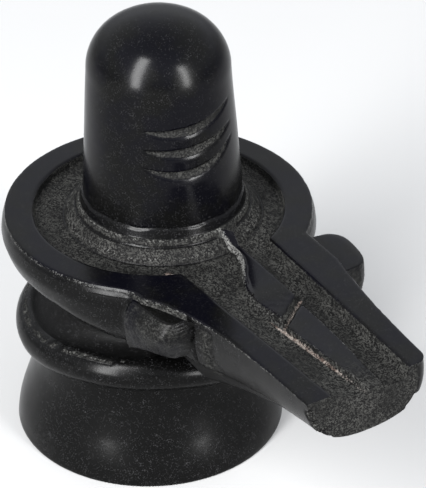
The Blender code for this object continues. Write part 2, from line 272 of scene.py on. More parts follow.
# The camera's bearing, rise and roll in degrees, and its place and lens
CAMERA_AZIMUTH = 58.2
CAMERA_ELEVATION = 33.3
CAMERA_ROLL = -0.24
CAMERA_DISTANCE = 0.600
CAMERA_TARGET = 0.0506
CAMERA_RIGHT = 0.01068
CAMERA_UP = -0.00606
CAMERA_FOCAL = 2800.0
IMAGE_LONG_SIDE = 488
SENSOR = 36.0

# The stage
FLOOR_REACH = 3.0
LIGHT_DISTANCE = 1.2
LIGHT_TARGET = 0.05


def blend(start, end, share):
    """A value between two others."""
    return start + (end - start) * share


def unit(value):
    """A value cut off at 0 and 1."""
    return np.clip(value, 0.0, 1.0)


def positive(value):
    """A value cut off at 0."""
    return np.maximum(0.0, value)


def ramp(low, high, value):
    """0 below low, 1 above high, and 3s^2 - 2s^3 of the share s in between; it falls if low > high."""
    share = unit((value - low) / (high - low))
    return share * share * (3.0 - 2.0 * share)


def bell(distance, breadth):
    """1 at no distance, falling off on both sides as exp(-d^2 / b^2)."""
    return np.exp(-(distance / breadth) ** 2)


def on_line(distance, breadth):
    """1 on a line and 0 beyond the breadth from it."""
    return 1.0 - ramp(0.3 * breadth, breadth, np.abs(distance))


def round_max(first, second, radius):
    """The greater of two values, with the corner where they cross rounded over the radius."""
    share = unit(0.5 + 0.5 * (first - second) / radius)
    return blend(second, first, share) + radius * share * (1.0 - share)


def superellipse(share, fullness):
    """Height of a superellipse's quarter arc at a share of its half width."""
    return (1.0 - share ** fullness) ** (1.0 / fullness)


def chord(radius, offset):
    """Half the chord of a circle at an offset from its centre, and a negative number outside it."""
    square = radius ** 2 - offset ** 2
    return np.sign(square) * np.sqrt(np.abs(square))


def softened(knots, softness):
    """Two rows of places and values: the straight line through the knots, averaged over the softness."""
    places = np.linspace(knots[0][0], knots[-1][0], 400)
    offsets = np.linspace(-softness, softness, 9)
    return places, np.mean([np.interp(places + o, *np.array(knots).T) for o in offsets], axis=0)


def lattice_noise(place, cell, seed):
    """Smooth noise between -1 and 1: random numbers on a lattice of cells, blended between the eight
    corners round each point."""
    scaled = place / cell
    low = np.floor(scaled).astype(np.int64)
    share = scaled - low
    share = share * share * (3.0 - 2.0 * share)
    table = np.random.default_rng(seed).uniform(-1.0, 1.0, 8192)
    total = np.zeros(place.shape[:-1])
    for step in itertools.product((0, 1), repeat=3):
        index = low + np.array(step)
        key = (index[..., 0] * 73856093) ^ (index[..., 1] * 19349663) ^ (index[..., 2] * 83492791)
        weight = np.prod(np.where(np.array(step) == 1, share, 1.0 - share), axis=-1)
        total = total + table[key % 8192] * weight
    return total


def tags(matt=0.0, satin=0.0, dust=0.0, wear=0.0):
    """Finish values of a grid. A place with none of them is polished, 1 is the whole of a finish, and
    satin above 1 is duller still."""
    return {"matt": matt, "satin": satin, "dust": dust, "wear": wear}


def points(x, y, z):
    """Grid points from three arrays that are broadcast together."""
    return np.stack(np.broadcast_arrays(x, y, z), axis=-1).astype(float)


def columns(line):
    """The x, y and z of a line of points, each as a column."""
    return line[:, 0:1], line[:, 1:2], line[:, 2:3]


# Plain shapes, each a radius, width or height that follows from a place
DISH_TABLE = softened((
    (DISH_UNDERSIDE - 0.0020, NECK_RADIUS - 0.0020), (LIP_HEIGHT, LIP_RADIUS),
    (blend(LIP_HEIGHT, BULGE_HEIGHT, 0.4), blend(LIP_RADIUS, BULGE_RADIUS, 0.7)),
    (BULGE_HEIGHT, BULGE_RADIUS),
    (blend(BULGE_HEIGHT, RIM_TOP, 0.55), blend(BULGE_RADIUS, RIM_RADIUS, 0.3)),
    (RIM_TOP, RIM_RADIUS)), 0.0006)


def dish_radius(z):
    """Radius of the dish's outside at a height."""
    return np.interp(z, *DISH_TABLE)


def neck_radius(z):
    """Radius of the hollow neck at a height: its ends are blended towards the narrow middle by a sine."""
    turn = np.linspace(0.0, math.pi, 60)
    radius = blend(blend(WAIST_RADIUS, NECK_TOP_RADIUS, turn / math.pi), NECK_RADIUS, np.sin(turn))
    return np.interp(z, blend(ROLL_TOP, DISH_UNDERSIDE, 0.5 - 0.5 * np.cos(turn)), radius)


def half_width(x, side):
    """Half width of the spout's top: it fades from the flared root to the tip as an exponential."""
    if side == NEAR:
        return TIP_HALF_WIDTH + NEAR_FLARE * np.minimum(1.0, np.exp((SPOUT_ROOT - x) / NEAR_FADE))
    width = np.minimum(FAR_LIMIT, TIP_HALF_WIDTH + FAR_FLARE * np.exp((SPOUT_ROOT - x) / FAR_FADE))
    into_corner = unit((x - SPOUT_END) / TIP_CORNER + 1.0)
    return width - TIP_CORNER * (1.0 - np.sqrt(1.0 - into_corner ** 2))


def spout_share(x):
    """1 at the spout's root and 0 at its end."""
    return unit((SPOUT_END - x) / (SPOUT_END - SPOUT_ROOT))


def spout_depth(x):
    """Depth of the spout below the rim."""
    return blend(TIP_DEPTH, ROOT_DEPTH, spout_share(x) ** DEPTH_CURVE)


def spout_side(x, z, side):
    """How far out the spout's side lies: a superellipse D, pinched below the lip near the root."""
    drop = RIM_TOP - z
    depth = spout_depth(x)
    across = superellipse(unit(drop / depth), SPOUT_FULLNESS)
    pinch = ROOT_PINCH * unit((PINCH_END - x) / (PINCH_END - SPOUT_ROOT))
    below_lip = positive(drop - (RIM_TOP - LIP_HEIGHT)) / depth
    width = half_width(x, side) * across * (1.0 - pinch * np.minimum(1.0, 3.0 * below_lip))
    lean = side * TIP_SHEAR * drop * (1.0 - spout_share(x))
    return width + lean - BELLY_STEEPNESS * positive(drop - depth)


def ear_side(x, z, side):
    """How far out an ear's side lies: a turned superellipse that tapers above and below its belly. The
    near ear's root end isn't rounded: it runs back until the dish's side takes it in."""
    offset, breadth, rounding = EAR_SIZES[side]
    near = side == NEAR
    share = (z - EAR_BOTTOM) / EAR_THICKNESS
    inset = np.interp(share, (0.0, 0.2, 0.5, 0.8, 0.93, 1.0),
                      (EAR_TAPER, EAR_TAPER * 0.4, 0.0, rounding * 0.25, rounding * 0.6, rounding))
    inset = inset + EAR_UNDERCUT * positive(EAR_BOTTOM - z)
    if near:
        below = unit(1.0 - share / NARROWING_TOP)
        inset = inset + NEAR_EAR_NARROWING * positive(x - NARROWING_START) * below
    length = (NEAR_EAR_END - EAR_ALONG if near else EAR_LENGTH / 2) - 0.5 * inset
    breadth = breadth - inset
    along = x - EAR_ALONG
    ahead = np.maximum(along, NEAR_EAR_ROOT) if near else along
    out = breadth
    for _ in range(3):
        local = along * math.cos(EAR_TURN) - out * math.sin(EAR_TURN)
        share = unit((positive(local) if near else np.abs(local)) / length)
        out = breadth * superellipse(share, EAR_FULLNESS) - ahead * math.tan(EAR_TURN)
    past = positive((along if near else np.abs(along)) - length)
    if near:
        out = out - NEAR_EAR_ROOT_SLOPE * positive(NEAR_EAR_START - x)
    return offset + out - EAR_END_STEEPNESS * past - EAR_TOP_STEEPNESS * positive(z - EAR_TOP)


def outline(x, z, side, ear=True):
    """How far out the stone reaches across a plane of constant x: the outermost of dish, neck, spout
    and ear, with the creases between them rounded a little."""
    reach = side * DISH_Y + chord(dish_radius(z), x - DISH_X)
    neck = side * PEDESTAL_Y + chord(neck_radius(z), x - PEDESTAL_X)
    reach = round_max(reach, np.where(z < DISH_UNDERSIDE, neck, -1.0), NECK_BLEND)
    reach = round_max(reach, spout_side(x, z, side), SPOUT_BLEND[side])
    if not ear:
        return reach
    radius = EAR_BLEND
    if side == NEAR:
        # a chiselled strip on the spout's side past the near ear, with an upright cut between them
        window = ramp(EAR_TOP + 0.0004, EAR_TOP - 0.0006, z) * ramp(0.0400, 0.0425, z)
        strip = ramp(0.0392, 0.0402, x) * ramp(0.0446, 0.0425, x)
        cut = bell(x - NEAR_EAR_END - 0.0004, CUT_WIDTH)
        reach = reach + (STRIP_RISE * strip - CUT_DEPTH * cut) * window
        radius = blend(EAR_BLEND, NEAR_EAR_BLEND, ramp(0.0290, 0.0240, x))
    return round_max(reach, ear_side(x, z, side), radius)


def channel_share(x):
    """0 where the channel starts in the basin and 1 at the spout's end."""
    return unit((x - CHANNEL_START) / (SPOUT_END - CHANNEL_START))


def channel_edge(x, side):
    """How far across the channel's edge lies."""
    return blend(*CHANNEL_ACROSS[side], channel_share(x))


def inner_edge(x, side, inset):
    """The edge of the basin and the channel across a plane of constant x, moved in by the inset."""
    basin = side * DISH_Y + chord(BASIN_RADIUS - inset, x - DISH_X)
    run = inset * WALL_RUN[side] / BASIN_RUN
    return round_max(basin, channel_edge(x, side) - run, 0.0004)


# The foot of the tongue's near side and its top edge, as places along and across the spout
CREASE_LINE = softened((
    (0.0140, -0.0004), (0.0180, 0.0012), (0.0205, 0.0019), (0.0230, 0.0021), (0.0258, 0.0019),
    (0.0285, 0.0010), (0.0322, -0.0019), (0.0350, -0.0034), (BAR_START, BAR_NEAR),
    (SPOUT_END + 0.0010, BAR_TIP_NEAR)), 0.0010)
RIDGE_LINE = softened((
    (0.0140, 0.0004), (0.0162, 0.0022), (0.0180, 0.0035), (0.0199, 0.0044), (0.0241, 0.0044),
    (0.0278, 0.0029), (0.0310, 0.0009), (0.0352, -0.0009), (0.0392, -0.0018), (0.0426, -0.0014),
    (0.0451, -0.0010), (0.0500, -0.0006), (SPOUT_END, 0.0010)), 0.0010)

# The collar's slope as reach from the lingam's axis and height: two thin edges with a shallow crease
COLLAR_TABLE = np.array((
    (0.0100, COLLAR_TOP + 0.0003), (COLLAR_INNER, COLLAR_TOP + 0.0001), (0.0181, COLLAR_TOP),
    (0.0185, COLLAR_TOP - 0.0006), (0.0188, COLLAR_TOP - 0.0014), (0.0191, COLLAR_TOP - 0.0013),
    (0.0204, COLLAR_EDGE + 0.0006), (COLLAR_RADIUS, COLLAR_EDGE + 0.0002),
    (0.0210, COLLAR_EDGE - 0.0003), (0.0212, BASIN_FLOOR - 0.0002), (0.0216, BASIN_FLOOR - 0.0010))).T


def crease(x):
    """How far across the sloping near floor reaches, to the foot of the tongue and the bar."""
    return np.interp(x, *CREASE_LINE)


def ridge(x):
    """How far across the tongue's near top edge lies: it swings out from the collar and back."""
    return np.interp(x, *RIDGE_LINE)


def tongue_far(x):
    """How far across the tongue's far foot lies."""
    return blend(TONGUE_FADE, BAR_FAR, ramp(0.0230, 0.0470, x))


def bar_far(x):
    """How far across the bar's far foot lies."""
    return blend(BAR_FAR, BAR_TIP_FAR, unit((x - BAR_START) / (SPOUT_END - BAR_START)) ** 1.5)


def notch(y):
    """How far along the slanted notch between tongue and bar lies."""
    return BAR_START - NOTCH_SLANT * (y - BAR_NEAR) / (BAR_FAR - BAR_NEAR)


def tongue_share(x, y):
    """1 on the tongue's top: the product of a steep near side that is hollow at its foot, a far side
    that fades into the floor, its start at the collar and its slanted end."""
    near_side = ramp(0.0, 1.0, (y - crease(x)) / (ridge(x) - crease(x))) ** 1.4
    far_side = 1.0 - ramp(TONGUE_FAR, tongue_far(x), y)
    end = 1.0 - ramp(-0.0013, -0.0001, x - notch(y))
    return np.where(x < TONGUE_TO, near_side * far_side * end * ramp(TONGUE_START, 0.0185, x), 0.0)


def bar_share(x, y):
    """1 on the bar's top: the product of its near side, its far side and its slanted start."""
    near_side = ramp(crease(x), crease(x) + BAR_SIDE, y)
    far_side = 1.0 - ramp(bar_far(x) - BAR_SIDE, bar_far(x), y)
    return np.where(x > BAR_FROM, near_side * far_side * ramp(0.0001, 0.0011, x - notch(y)), 0.0)


def floor_tags(x, y):
    """Finish of the carved floor: polished on top of the tongue and the bar, dusty along the creases and
    the foot of the basin's wall, worn along the thin edges, smooth and darkened as painted shade in the
    collar's crease, at the collar's foot and at the wall's foot, and matt everywhere else."""
    reach, from_dish = np.hypot(x, y), np.hypot(x - DISH_X, y - DISH_Y)
    tongue, bar = tongue_share(x, y), bar_share(x, y)
    fade = ramp(SPOUT_END, 0.0600, x)
    polish = np.maximum(ramp(0.80, 0.98, tongue), ramp(0.86, 0.99, bar) * blend(0.35, 1.0, fade))
    # dust
    foot = on_line(y - crease(x) - 0.0001, blend(0.0004, 0.0006, ramp(0.0440, 0.0500, x)))
    dust = foot * ramp(0.0235, 0.0290, x) * blend(0.35, 1.0, ramp(0.0440, 0.0490, x))
    gap = on_line(x - notch(y) - 0.0002, 0.0008) * (y > crease(x) - 0.0002) * (y < BAR_FAR + 0.0004)
    wall_foot = ramp(BASIN_RADIUS - 0.0012, BASIN_FOOT, from_dish) * (x < 0.0240)
    heap = bell(x - 0.0215, 0.0012) * bell(y + 0.0118, 0.0016)
    dust = np.maximum.reduce((dust * blend(0.45, 1.0, fade), 0.9 * gap, 0.10 * wall_foot, heap))
    # worn edges
    rings = np.maximum(0.50 * on_line(reach - 0.0205, 0.0007), 0.65 * on_line(reach - 0.0181, 0.0004))
    on_tongue = ramp(0.0150, 0.0180, x) * ramp(BAR_START, 0.0460, x)
    crest = on_line(y - ridge(x) + 0.0002, 0.0011) * on_tongue * blend(0.5, 1.0, ramp(0.034, 0.028, x))
    on_bar = x > notch(y) + 0.0010
    near_edge = on_line(y - crease(x) - 0.0009, 0.0003) * on_bar
    far_edge = on_line(y - bar_far(x) + 0.0008, 0.0003) * on_bar
    rings = np.where(tongue > 0.3, 0.0, rings)
    wear = np.maximum.reduce((rings, crest, 0.55 * near_edge, 0.75 * far_edge))
    # painted shade: the collar's crease, its foot and the wall's foot get the dark, smooth satin finish
    hollow = np.maximum(on_line(reach - 0.0188, 0.0004), 0.8 * on_line(reach - 0.0213, 0.0005))
    hollow = np.where((tongue > 0.1) | (x > 0.0240), 0.0, hollow)
    painted_wall_shade = 0.7 * ramp(BASIN_RADIUS - 0.0010, BASIN_RADIUS - 0.0006, from_dish) * (x < 0.0200)
    hollow = np.maximum(hollow, painted_wall_shade)
    matt = (1.0 - polish) * (1.0 - 0.8 * hollow)
    return tags(matt=matt, satin=hollow, dust=unit(dust), wear=wear)


def floor_height(x, y):
    """Height of everything carved inside the rim: basin, collar, channel, tongue, notch and bar."""
    level = RIM_TOP - blend(BASIN_DEPTH, CHANNEL_DEPTH, np.minimum(1.0, 2.0 * channel_share(x)))
    fall = unit((SHOULDER_END - x) / (SHOULDER_END - SHOULDER_START))
    near_edge = RIM_TOP - blend(CHANNEL_EDGE, BASIN_DEPTH, fall)
    near = -channel_edge(x, NEAR)
    slope = blend(near_edge, level, unit((y - near) / (crease(x) - near)))
    collar = np.interp(np.hypot(x, y), *COLLAR_TABLE)
    height = round_max(np.maximum(level, slope), collar, 0.0002)
    # the tongue: its near edge is raised a little, and its top is hollow beyond that edge
    beyond = positive(y - ridge(x))
    crest = CREST_RISE * bell(y - ridge(x), CREST_WIDTH) * ramp(0.0350, 0.0270, x)
    hollow = HOLLOW_DEPTH * np.exp(-beyond / HOLLOW_LENGTH) * ramp(0.0002, 0.0008, beyond)
    top = CHANNEL_FLOOR + TONGUE_RISE + (crest - hollow * ramp(0.0400, 0.0310, x))
    lifted = blend(level, top, tongue_share(x, y))
    height = round_max(height, np.where(x < TONGUE_TO, lifted, 0.0), 0.0002)
    # the bar: highest along its near side
    across = unit((y - crease(x)) / (bar_far(x) - crease(x)))
    top = CHANNEL_FLOOR + BAR_RISE - BAR_FALL * across
    return np.maximum(height, np.where(x > BAR_FROM, blend(level, top, bar_share(x, y)), 0.0))


# Places along the sweep round the rim
def corner(side):
    """x of the mouth's corner, where the basin's wall meets the channel's wall."""
    x = 0.0235
    for _ in range(4):
        across = channel_edge(x, side) - WALL_RUN[side] - side * DISH_Y
        x = DISH_X + math.sqrt(BASIN_FOOT ** 2 - across ** 2)
    return x


def dish_stations(side):
    """x of the planes from the dish's middle to the mouth's corner, evenly spaced round the circle."""
    last = math.asin((corner(side) - DISH_X) / BASIN_FOOT)
    return DISH_X + BASIN_FOOT * np.sin(np.linspace(0.0, last, DISH_STEPS + 1))


def spout_stations(side):
    """x of the planes from the mouth's corner to the spout's end: close at the ears and round the tip."""
    share = np.linspace(0.0, 1.0, SPOUT_STEPS + 1)
    tip = SPOUT_END - TIP_CORNER
    x = np.interp(share, (0.0, EARS_STEPS, SIDE_STEPS), (corner(side), EARS_END, tip))
    turn = unit((share - SIDE_STEPS) / (1.0 - SIDE_STEPS)) * math.pi / 2
    return np.where(share > SIDE_STEPS, tip + TIP_CORNER * np.sin(turn), x)


def side_height(x):
    """Heights of a plane's outside rows. Beyond the ears they close up, to end on the spout's belly."""
    height, start = SIDE_HEIGHTS, corner(NEAR)
    lip = LIP_HEIGHT + LIP_CLOSING * ramp(0.0420, SPOUT_END, x)
    upper = RIM_TOP - (RIM_TOP - height) * (RIM_TOP - lip) / (RIM_TOP - LIP_HEIGHT)
    bottom = blend(ROLL_TOP, RIM_TOP - SIDE_SHARE * spout_depth(x), ramp(start, start + 0.008, x))
    lower = lip - (lip - bottom) * (LIP_HEIGHT - height) / (LIP_HEIGHT - ROLL_TOP)
    return np.where(height >= LIP_HEIGHT, upper, lower)


def side_shift(x, side):
    """How far a plane's low rows are moved back towards the neck, most at the mouth's corner. On the
    roll moulding's top the planes stand evenly round the circle."""
    start = corner(side)
    first = math.acos((DISH_X - PEDESTAL_X) / WAIST_RADIUS)
    share = unit((x - DISH_X) / (start - DISH_X))
    turned = np.arcsin(share * math.sin(MOUTH_TURN)) / MOUTH_TURN
    bearing = blend(first, MOUTH_BEARING, turned)
    shift = np.minimum(x, start) - (PEDESTAL_X + WAIST_RADIUS * np.cos(bearing))
    return shift * (1.0 - ramp(start, start + SHIFT_FADE, x)) * ramp(LIP_HEIGHT, ROLL_TOP, SIDE_HEIGHTS)


def with_ledge(rows, ledge):
    """The outside rows with the ledge's rows put in between them."""
    ledge = np.broadcast_to(ledge, (len(rows), len(LEDGE_SHARES)))
    return np.hstack((rows[:, :LEDGE_ROW], ledge, rows[:, LEDGE_ROW:]))


def section(foot, inner, floor, outer, outside, z, flat):
    """Reach and height of all the rows: up the wall from its foot on the floor, across the rim's top,
    whose two edges turn down by a square, and down the outside, with the ledge as a straight line or,
    where it is an ear's flat top, a cubic."""
    start = inner + 0.25 * RIM_FILLET
    top = blend(start, outer, TOP_SHARES)
    from_edge = unit(np.minimum(top - start, outer - top) / RIM_FILLET)
    top_z = RIM_TOP - 0.45 * RIM_FILLET * (1.0 - from_edge) ** 2
    wall_z = blend(floor, RIM_TOP - 0.6 * RIM_FILLET, WALL_SHARES)
    above, below = slice(LEDGE_ROW - 1, LEDGE_ROW), slice(LEDGE_ROW, LEDGE_ROW + 1)
    ledge = blend(outside[:, above], outside[:, below], LEDGE_SHARES)
    drop = blend(LEDGE_SHARES, 0.15 + 0.5 * LEDGE_SHARES ** 3, flat)
    reach = np.hstack((blend(foot, inner, WALL_SHARES), top, with_ledge(outside, ledge)))
    return reach, np.hstack((wall_z, top_z, with_ledge(z, blend(z[:, above], z[:, below], drop))))


def front_strip(stations, side):
    """One side of the rim in front of the dish's middle. Each column is a plane of constant x, whose
    outside is the outermost of the shapes. Returns the points, how much each belongs to an ear's side
    and how much to an ear's flat top."""
    x = stations[:, None]
    foot, inner = inner_edge(x, side, BASIN_RUN), inner_edge(x, side, 0.0)
    z = side_height(x)
    moved = x - side_shift(x, side)
    plain_y = outline(moved, z, side, ear=False)
    outside = np.where(np.arange(z.shape[1]) < LEDGE_ROW, plain_y, outline(moved, z, side))
    if stations[0] < 0.0:
        outside[:, -1] = side * PEDESTAL_Y + chord(WAIST_RADIUS, moved[:, -1] - PEDESTAL_X)
    flat = unit((outside[:, LEDGE_ROW] - outside[:, LEDGE_ROW - 1]) / 0.001)[:, None]
    ear = ramp(-0.0001, 0.0006, ear_side(moved, z, side) - plain_y)
    ear[:, :LEDGE_ROW] = flat
    outer = outline(x, RIM_EDGE, side, ear=False)
    y, height = section(foot, inner, floor_height(x, side * foot), outer, outside, z, flat)
    inside = np.zeros((len(x), INSIDE_ROWS))
    along = np.hstack((inside + x, with_ledge(moved, x)))
    ledge = np.hstack((inside, with_ledge(np.zeros_like(z), flat)))
    return points(along, side * y, height), np.hstack((inside, with_ledge(ear, 0.0))), ledge


def back_strip():
    """The rim behind the dish's middle, turned about the dish's centre, with the same rows."""
    bearing = np.linspace(-math.pi / 2, -1.5 * math.pi, BACK_STEPS + 1)[:, None]
    cos, sin = np.cos(bearing), np.sin(bearing)
    inner, foot = np.full_like(cos, BASIN_RADIUS), np.full_like(cos, BASIN_FOOT)
    z = np.repeat(side_height(DISH_X)[None, :], len(bearing), axis=0)
    off_x, off_y = PEDESTAL_X - DISH_X, PEDESTAL_Y - DISH_Y
    neck = off_x * cos + off_y * sin + np.sqrt(neck_radius(z) ** 2 - (off_y * cos - off_x * sin) ** 2)
    outside = round_max(dish_radius(z), np.where(z < DISH_UNDERSIDE, neck, -1.0), NECK_BLEND)
    floor = floor_height(DISH_X + foot * cos, DISH_Y + foot * sin)
    radius, height = section(foot, inner, floor, dish_radius(RIM_EDGE), outside, z, 0.0)
    return points(DISH_X + radius * cos, DISH_Y + radius * sin, height)


def across_places(x, near, far):
    """y of the lines along the channel. They follow its features: the crease, the ridge of the tongue,
    its far edge and far foot, and are evenly spread between them."""
    knots = (0.0, 0.28, 0.44, 0.66, 0.84, 1.0)
    share = np.linspace(0.0, 1.0, ACROSS_STEPS + 1)[None, :]
    edge = blend(TONGUE_FAR, BAR_FAR - 0.0010, ramp(0.03, 0.05, x))
    on_tongue = x < BAR_START
    lines = (near, crease(x), np.where(on_tongue, ridge(x), crease(x) + 0.0012),
             np.where(on_tongue, edge, bar_far(x) - 0.0010),
             np.where(on_tongue, tongue_far(x), bar_far(x)), far)
    place = np.zeros((len(x), share.shape[1]))
    for low, high, line, following in zip(knots, knots[1:], lines, lines[1:]):
        place = place + unit((share - low) / (high - low)) * (following - line)
    return near + place


def channel_grid(near_line, far_line):
    """The channel's floor. Its rows start on the basin's arc at the mouth and straighten towards the
    spout's end; the height is the carved floor's."""
    near_x, near, _ = columns(near_line)
    far_x, far, _ = columns(far_line)
    along = 0.5 * (near_x + far_x)
    y = across_places(along, near, far)
    share = (y - near) / (far - near)
    x = blend(near_x, far_x, share)
    first, last = (math.hypot(line[0, 0] - DISH_X, line[0, 1] - DISH_Y)
                   for line in (near_line, far_line))
    arc = DISH_X + np.sqrt(blend(first, last, share[0]) ** 2 - (y[0] - DISH_Y) ** 2)
    x = x + (arc - x[0]) * (1.0 - ramp(0.0, CHANNEL_FADE, along - along[0]))
    return points(x, y, floor_height(x, y))


def belly_grid(near_line, far_line):
    """The spout's underside between the two lowest lines of its sides: the D's belly, which falls from
    each edge as a power of the distance from the middle, closed on to the roll moulding's top at the
    root."""
    share = np.linspace(0.0, 1.0, BELLY_STEPS + 1)[None, :]
    first, last = (math.atan2(line[0, 1] - PEDESTAL_Y, line[0, 0] - PEDESTAL_X)
                   for line in (near_line, far_line))
    angle = np.linspace(first, last, BELLY_STEPS + 1)[None, :]
    near_x, near_y, near_z = columns(near_line)
    far_x, far_y, far_z = columns(far_line)
    x, y = blend(near_x, far_x, share), blend(near_y, far_y, share)
    travelled = 0.5 * (near_x + far_x)
    travelled = travelled - travelled[0]
    fade = 1.0 - ramp(0.0, BELLY_FADE, travelled)
    x = x + (PEDESTAL_X + WAIST_RADIUS * np.cos(angle) - x[0]) * fade
    y = y + (PEDESTAL_Y + WAIST_RADIUS * np.sin(angle) - y[0]) * fade
    bottom = RIM_TOP - spout_depth(x)
    off_middle = np.abs(2.0 * share - 1.0)
    z = bottom + (np.where(share < 0.5, near_z, far_z) - bottom) * off_middle ** BELLY_FULLNESS
    z = z + (ROLL_TOP - z[0]) * (1.0 - ramp(0.0, BELLY_SETTLE, travelled))
    return points(x, y, z)


def leaned(place):
    """Points of the lingam moved sideways, as a smooth step from the shaft's foot to the shoulder."""
    return place + ramp(SHAFT_FOOT, SHOULDER_HEIGHT + 0.004, place[..., 2])[..., None] * LEAN


def polar_rings(ring):
    """Rings from the basin's foot in to the lingam's top. Out of the collar's edge they close on the
    given ring; the height is the carved floor's, then the shaft's and the dome's."""
    bearing = np.arctan2(ring[:, 1] - DISH_Y, ring[:, 0] - DISH_X)[None, :]
    cos, sin = np.cos(bearing), np.sin(bearing)
    shares = np.linspace(1.0, 0.0, 15)[1:-1, None]
    reach = np.array((0.0212, 0.0210, 0.0208, 0.0206, 0.0204, 0.0200, 0.0196, 0.0192, 0.0189, 0.0187,
                      0.0185, 0.0181, COLLAR_INNER))[:, None]
    edge = COLLAR_RADIUS + 0.0003
    x, y = (np.concatenate((ring[None, :, i], blend(edge * turned, ring[None, :, i], shares),
                            reach * turned)) for i, turned in enumerate((cos, sin)))
    z = floor_height(x, y)
    z[0] = ring[:, 2]
    # the shaft, with the uneven strip and the line round its foot
    parts = ((0.0, 0.10, 16), (0.10, 0.42, 8), (0.42, 0.93, 58), (0.93, 1.0, 5))
    share = np.concatenate([np.linspace(*part)[1:] for part in parts])[:, None]
    height = blend(z[-1], SHOULDER_HEIGHT, share)
    angle = np.arctan2(sin, cos)
    line = FOOT_LINE + 0.00014 * np.sin(9.0 * angle + 0.7) + 0.00010 * np.sin(17.0 * angle)
    strip = np.interp(height, (COLLAR_TOP, COLLAR_TOP + 0.0004, FOOT_LINE + 0.0006), (1.0, 0.85, 0.15))
    strip = strip * (1.0 - ramp(-0.0001, 0.0002, height - line))
    radius = shaft_radius(height) + (COLLAR_INNER - LINGAM_FOOT_RADIUS) * strip
    grooves = groove_depth(np.degrees(angle), height)
    radius = radius - FOOT_LINE_DEPTH * on_line(height - line, FOOT_LINE_WIDTH) - grooves
    shaft = leaned(points(radius * cos, radius * sin, height))
    cut = ramp(0.10, 0.45, grooves / max(bpy.context.scene.lingam_sizes.groove_depth, 1e-6))
    turn = np.linspace(0.0, math.pi / 2, 23)[1:-1, None]
    radius = SHOULDER_RADIUS * np.cos(turn) ** (2 / DOME_FULLNESS)
    dome = points(radius * cos, radius * sin,
                  SHOULDER_HEIGHT + DOME_HEIGHT * np.sin(turn) ** (2 / DOME_FULLNESS))
    top = points(0.0 * cos, 0.0 * cos, HIGHEST.z - 0.00002)
    return points(x, y, z), shaft, leaned(np.concatenate((dome, top))), cut


def shaft_radius(height):
    """Radius of the lingam's slightly tapered shaft."""
    return blend(LINGAM_FOOT_RADIUS, SHOULDER_RADIUS, (height - SHAFT_FOOT) / SHAFT_HEIGHT)


def groove_depth(bearing, height):
    """Depth of the three curved cuts: each a steep upper wall and a long slope below it, deepest in
    its middle and fading out at both ends."""
    fade = 1.0 - np.clip((bearing - GROOVE_MIDDLE) / GROOVE_HALF_SPAN, -1.0, 1.0) ** 2
    depth = np.zeros(np.broadcast(bearing, height).shape)
    sizes = bpy.context.scene.lingam_sizes
    for lowest, middle, rise in GROOVES:
        line = SHAFT_FOOT + lowest + rise * ((bearing - middle) / GROOVE_RISE_SPAN) ** 2
        above = height - line - 0.45 * sizes.groove_width * fade
        upper = 1.0 - ramp(-0.0001, 0.0003, above)
        lower = ramp(-1.0, -0.1, above / (sizes.groove_width * (0.2 + 0.8 * fade)))
        depth = np.maximum(depth, sizes.groove_depth * fade ** 0.7 * upper * lower)
    return depth


def pedestal_rings(ring):
    """Rings from the roll moulding's top down to the middle of the underside, about the pedestal's own
    axis: half an ellipse, a straight waist, a flare that follows a cosine, and the flat foot."""
    bearing = np.arctan2(ring[:, 1] - PEDESTAL_Y, ring[:, 0] - PEDESTAL_X)[None, :]
    turn = np.linspace(math.pi / 2, -math.pi / 2, 27)[1:]
    roll_r = WAIST_RADIUS + (ROLL_RADIUS - WAIST_RADIUS) * np.cos(turn)
    roll_z = ROLL_BOTTOM + ROLL_THICKNESS / 2 * (1.0 + np.sin(turn))
    waist_z = np.linspace(ROLL_BOTTOM, FLARE_HEIGHT, 4)[1:-1]
    flare_z = np.linspace(FLARE_HEIGHT, FOOT_EDGE, 26)
    swell = 0.5 + 0.5 * np.cos(math.pi * flare_z / FLARE_HEIGHT)
    flare_r = blend(WAIST_RADIUS, FOOT_RADIUS, swell)
    foot_r = (FOOT_RADIUS - 0.00012, FOOT_RADIUS - FOOT_EDGE, 0.0280, 0.0255, 0.0220, 0.0170, 0.0110,
              0.0050, 0.0)
    foot_z = (0.00012, *(0.0,) * 8)
    radius = np.concatenate((roll_r, np.full(len(waist_z), WAIST_RADIUS), flare_r, foot_r))[:, None]
    height = np.concatenate((roll_z, waist_z, flare_z, foot_z))[:, None]
    rings = points(PEDESTAL_X + radius * np.cos(bearing), PEDESTAL_Y + radius * np.sin(bearing), height)
    return np.concatenate((ring[None], rings))


def end_grid(top, bottom):
    """The end face, between the chain over its top and the chain round its belly. Its lines leave the
    top straight down and turn towards their ends on the belly as a smooth step."""
    if len(top) != len(bottom):
        raise ValueError(f"the end face's chains have {len(top)} and {len(bottom)} points")
    share = np.linspace(0.0, 1.0, END_STEPS + 1)[:, None, None]
    grid = blend(top[None], bottom[None], share)
    grid[..., 1] = blend(top[None, :, 1], bottom[None, :, 1], ramp(0.10, 1.0, share[..., 0]))
    return grid


# Putting the grids together
def grid_faces(rows, across, first):
    """Four corners of each cell of a grid whose points are numbered row by row."""
    index = first + np.arange(rows * across).reshape(rows, across)
    corners = (index[:-1, :-1], index[:-1, 1:], index[1:, 1:], index[1:, :-1])
    return np.stack(corners, axis=-1).reshape(-1, 4)


